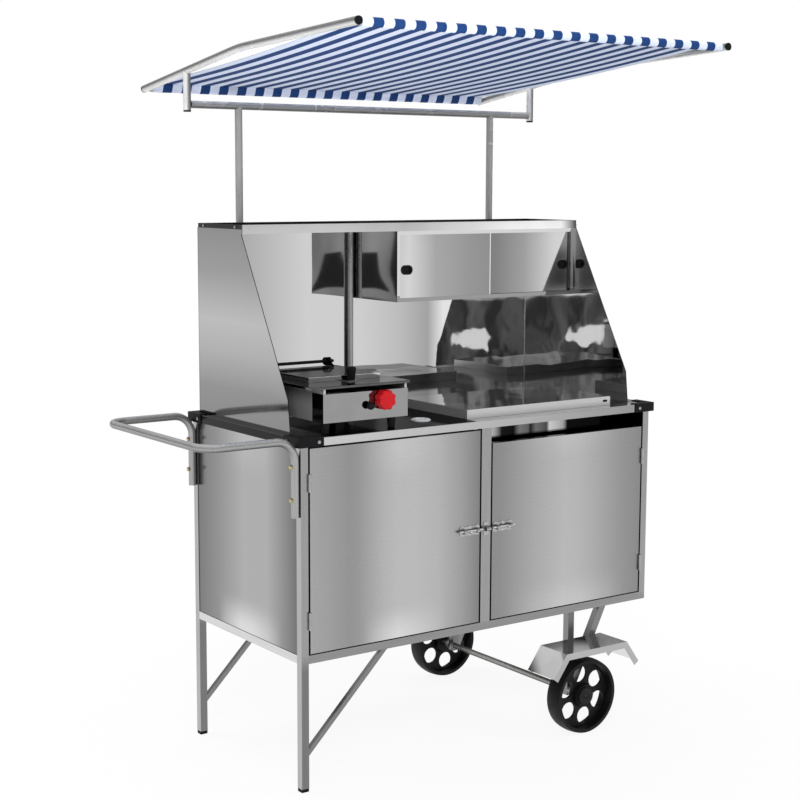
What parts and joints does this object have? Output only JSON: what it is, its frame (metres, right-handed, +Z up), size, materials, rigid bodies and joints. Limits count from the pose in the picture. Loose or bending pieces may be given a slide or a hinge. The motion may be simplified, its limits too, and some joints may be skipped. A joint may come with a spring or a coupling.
{
  "type": "hot dog cart",
  "caption": "Stainless hot dog cart on two legs and two wheels, with a push handle, cabinet doors, press griddle, bain-marie, hood with tray and sliding-door box, and a striped awning.",
  "frame": {"origin": "on the floor, under the middle of the overall box", "axes": "+Z up, +X along the counter from the handle to the wheels, the doors face -Y"},
  "size_m": [1.369, 1.006, 1.7836],
  "materials": {
    "frame_tube_steel": "stainless tube, satin",
    "satin_sheet_steel": "stainless sheet, satin",
    "polished_sheet_steel": "stainless sheet, mirror polished",
    "griddle_plate_iron": "steel plate, dark from use",
    "bright_round_tube": "bright round tube",
    "zinc_steel": "zinc plated steel",
    "chrome_latch": "chromed pressed steel",
    "brass_fittings": "plain brass",
    "black_plastic": "moulded black plastic",
    "red_plastic": "moulded red plastic",
    "black_rubber": "moulded rubber",
    "wheel_plastic": "moulded black, solid tread",
    "grey_plastic": "moulded dark grey plastic",
    "striped_cloth": "woven awning cloth, blue and white stripes"
  },
  "bodies": {
    "base": {"posts": "frame_tube_steel", "long_rails": "frame_tube_steel", "cross_rails": "frame_tube_steel", "mullion": "frame_tube_steel", "braces": "frame_tube_steel", "axle_struts": "frame_tube_steel", "mid_post": "frame_tube_steel", "cabinet_panels": "satin_sheet_steel", "floor_panel": "satin_sheet_steel", "countertop": "polished_sheet_steel", "hood_shell": "polished_sheet_steel", "top_tray": "polished_sheet_steel", "box_shell": "polished_sheet_steel", "tank": "polished_sheet_steel", "food_pans": "polished_sheet_steel", "griddle_body": "polished_sheet_steel", "griddle_panel": "polished_sheet_steel", "wheel_guards": "polished_sheet_steel", "griddle_plate": "griddle_plate_iron", "handle": "bright_round_tube", "awning_sockets": "bright_round_tube", "hose_ring": "bright_round_tube", "axle": "zinc_steel", "hinge_pintles": "zinc_steel", "tank_burner": "zinc_steel", "griddle_burner": "zinc_steel", "cap_bolts": "zinc_steel", "tray_bolts": "zinc_steel", "latch_keeper": "chrome_latch", "gas_fittings": "brass_fittings", "handle_bolts": "brass_fittings", "corner_caps": "black_plastic", "leg_plugs": "black_plastic", "press_hinge": "black_plastic", "griddle_feet": "black_rubber", "axle_caps": "grey_plastic"},
    "left_door": {"left_door": "satin_sheet_steel", "left_door_barrels": "zinc_steel", "left_latch_plate": "chrome_latch"},
    "right_door": {"right_door": "satin_sheet_steel", "right_door_barrels": "zinc_steel", "right_latch_plate": "chrome_latch"},
    "left_bolt": {"left_latch_bolt": "chrome_latch"},
    "right_bolt": {"right_latch_bolt": "chrome_latch"},
    "left_slide": {"left_slide_door": "polished_sheet_steel", "left_pull": "black_plastic"},
    "right_slide": {"right_slide_door": "polished_sheet_steel", "right_pull": "black_plastic"},
    "press": {"press_lid": "polished_sheet_steel", "press_knob": "black_plastic"},
    "gas_knob": {"gas_knob": "red_plastic"},
    "igniter": {"igniter_button": "black_plastic"},
    "tank_lid": {"tank_lid": "polished_sheet_steel"},
    "front_wheel": {"front_wheel": "wheel_plastic"},
    "back_wheel": {"back_wheel": "wheel_plastic"},
    "awning": {"awning_posts": "bright_round_tube", "awning_cross_bar": "bright_round_tube", "roof_frame": "bright_round_tube", "awning_plugs": "black_plastic", "canopy": "striped_cloth"}
  },
  "joints": [
    {"name": "left_door_hinge", "type": "hinge", "parent": "base", "child": "left_door", "pos_m": [-0.407, -0.2585, 0.577], "axis": [0, 0, -1], "range_deg": [0, 110]},
    {"name": "right_door_hinge", "type": "hinge", "parent": "base", "child": "right_door", "pos_m": [0.648, -0.2585, 0.56], "axis": [0, 0, 1], "range_deg": [0, 110]},
    {"name": "left_bolt_slide", "type": "slide", "parent": "left_door", "child": "left_bolt", "axis": [1, 0, 0], "range_m": [0, 0.014]},
    {"name": "right_bolt_slide", "type": "slide", "parent": "right_door", "child": "right_bolt", "axis": [-1, 0, 0], "range_m": [0, 0.014]},
    {"name": "left_door_slide", "type": "slide", "parent": "base", "child": "left_slide", "axis": [1, 0, 0], "range_m": [0, 0.29]},
    {"name": "right_door_slide", "type": "slide", "parent": "base", "child": "right_slide", "axis": [-1, 0, 0], "range_m": [0, 0.29]},
    {"name": "press_hinge", "type": "hinge", "parent": "base", "child": "press", "pos_m": [-0.244, 0.051, 0.9854], "axis": [-1, 0, 0], "range_deg": [0, 95]},
    {"name": "gas_knob_turn", "type": "hinge", "parent": "base", "child": "gas_knob", "pos_m": [-0.1875, -0.255, 0.922], "axis": [0, -1, 0], "range_deg": [0, 180]},
    {"name": "igniter_push", "type": "slide", "parent": "base", "child": "igniter", "axis": [0, 1, 0], "range_m": [0, 0.005], "stiffness_N_per_m": 600},
    {"name": "tank_lid_lift", "type": "slide", "parent": "base", "child": "tank_lid", "axis": [0, 0, 1], "range_m": [0, 0.15]},
    {"name": "front_wheel_spin", "type": "hinge", "parent": "base", "child": "front_wheel", "pos_m": [0.4075, -0.299, 0.1], "axis": [0, 1, 0], "continuous": true},
    {"name": "back_wheel_spin", "type": "hinge", "parent": "base", "child": "back_wheel", "pos_m": [0.4075, 0.309, 0.1], "axis": [0, 1, 0], "continuous": true},
    {"name": "awning_lift", "type": "slide", "parent": "base", "child": "awning", "axis": [0, 0, 1], "range_m": [0, 0.06]}
  ]
}
